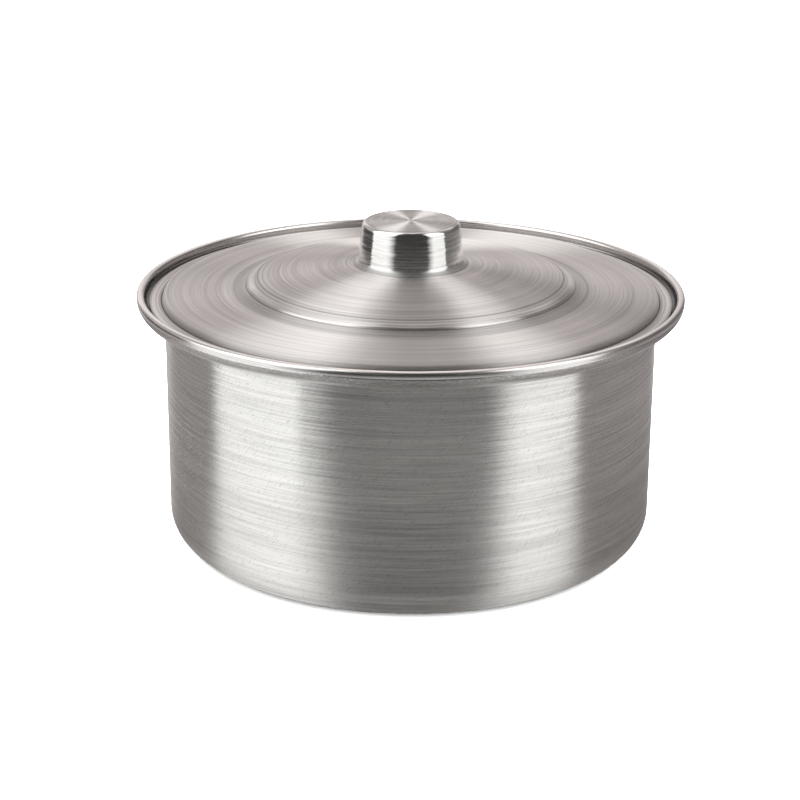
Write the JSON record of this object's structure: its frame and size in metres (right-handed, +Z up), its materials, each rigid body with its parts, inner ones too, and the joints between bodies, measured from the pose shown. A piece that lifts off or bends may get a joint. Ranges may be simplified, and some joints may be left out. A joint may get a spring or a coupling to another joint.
{
  "type": "lidded cooking pot",
  "caption": "Spun aluminium cooking pot with straight sides, a flared rolled rim and a loose inset lid with a round knob.",
  "frame": {"origin": "centre of the base's underside, on the surface the pot stands on", "axes": "+Z up along the pot's axis; +X and +Y are arbitrary, because the pot is round"},
  "size_m": [0.24, 0.24, 0.1422],
  "materials": {
    "pot_aluminium": "brushed around the wall",
    "lid_aluminium": "spun, with fine turning lines",
    "knob_aluminium": "turned bright",
    "fastener_steel": "plain"
  },
  "bodies": {
    "pot": {"pot_body": "pot_aluminium"},
    "lid_and_knob": {"lid": "lid_aluminium", "knob": "knob_aluminium", "knob_washer": "fastener_steel", "knob_screw": "fastener_steel"}
  },
  "joints": [
    {"name": "lid_lift", "type": "slide", "parent": "pot", "child": "lid_and_knob", "axis": [0, 0, 1], "range_m": [0, 0.15]}
  ]
}
